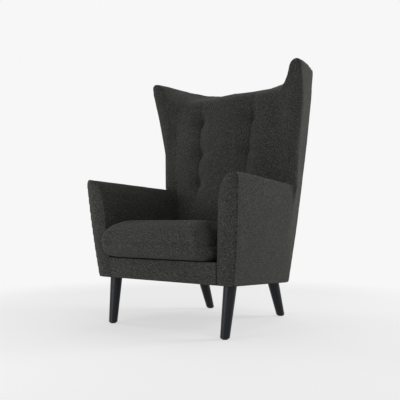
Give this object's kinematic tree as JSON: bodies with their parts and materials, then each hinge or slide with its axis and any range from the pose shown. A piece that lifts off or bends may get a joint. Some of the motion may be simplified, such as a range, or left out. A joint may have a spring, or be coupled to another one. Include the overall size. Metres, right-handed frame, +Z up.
{
  "type": "wing armchair",
  "caption": "High-back wing armchair with flared arms, a button-tufted back, a loose seat cushion and round tapered legs.",
  "frame": {"origin": "centre of the bounding box at floor level", "axes": "+Z up, -Y towards the front of the chair, +X towards the right seen from the front"},
  "size_m": [0.8004, 0.702, 1.08],
  "materials": {
    "upholstery_fabric": "matt melange weave",
    "leg_wood": "satin black lacquer",
    "frame_timber": "planed, unfinished",
    "steel": "zinc plated",
    "glide_plastic": "matt",
    "lining_cloth": "matt non-woven",
    "webbing_cloth": "matt woven",
    "foam": "open cell"
  },
  "bodies": {
    "frame": {"arm_front_panel_left": "upholstery_fabric", "arm_front_panel_right": "upholstery_fabric", "arm_pad_left": "upholstery_fabric", "arm_pad_right": "upholstery_fabric", "arm_post_left": "frame_timber", "arm_post_right": "frame_timber", "arm_rail_left": "frame_timber", "arm_rail_right": "frame_timber", "back_pad": "upholstery_fabric", "back_post_left": "frame_timber", "back_post_right": "frame_timber", "back_webbing": "webbing_cloth", "block_screws": "steel", "button_twines": "webbing_cloth", "corner_blocks": "frame_timber", "dust_cover": "lining_cloth", "foot_glides": "glide_plastic", "front_rail": "frame_timber", "front_rail_panel": "upholstery_fabric", "leg_bolts": "steel", "leg_front_left": "leg_wood", "leg_front_right": "leg_wood", "leg_rear_left": "leg_wood", "leg_rear_right": "leg_wood", "lower_back_rail": "frame_timber", "outer_arm_panel_left": "upholstery_fabric", "outer_arm_panel_right": "upholstery_fabric", "outer_back_panel": "upholstery_fabric", "outer_wing_panel_left": "upholstery_fabric", "outer_wing_panel_right": "upholstery_fabric", "rear_rail": "frame_timber", "seat_deck": "lining_cloth", "seat_springs": "steel", "side_rail_left": "frame_timber", "side_rail_right": "frame_timber", "spring_clips": "steel", "tee_nuts": "steel", "top_back_rail": "frame_timber", "tuft_buttons": "upholstery_fabric", "wing_board_left": "frame_timber", "wing_board_right": "frame_timber", "wing_pad_left": "upholstery_fabric", "wing_pad_right": "upholstery_fabric"},
    "seat_cushion": {"cushion_core": "foam", "cushion_cover": "upholstery_fabric"}
  },
  "joints": [
    {"name": "cushion_lift", "type": "slide", "parent": "frame", "child": "seat_cushion", "axis": [0, 0, 1], "range_m": [0, 0.85]}
  ]
}
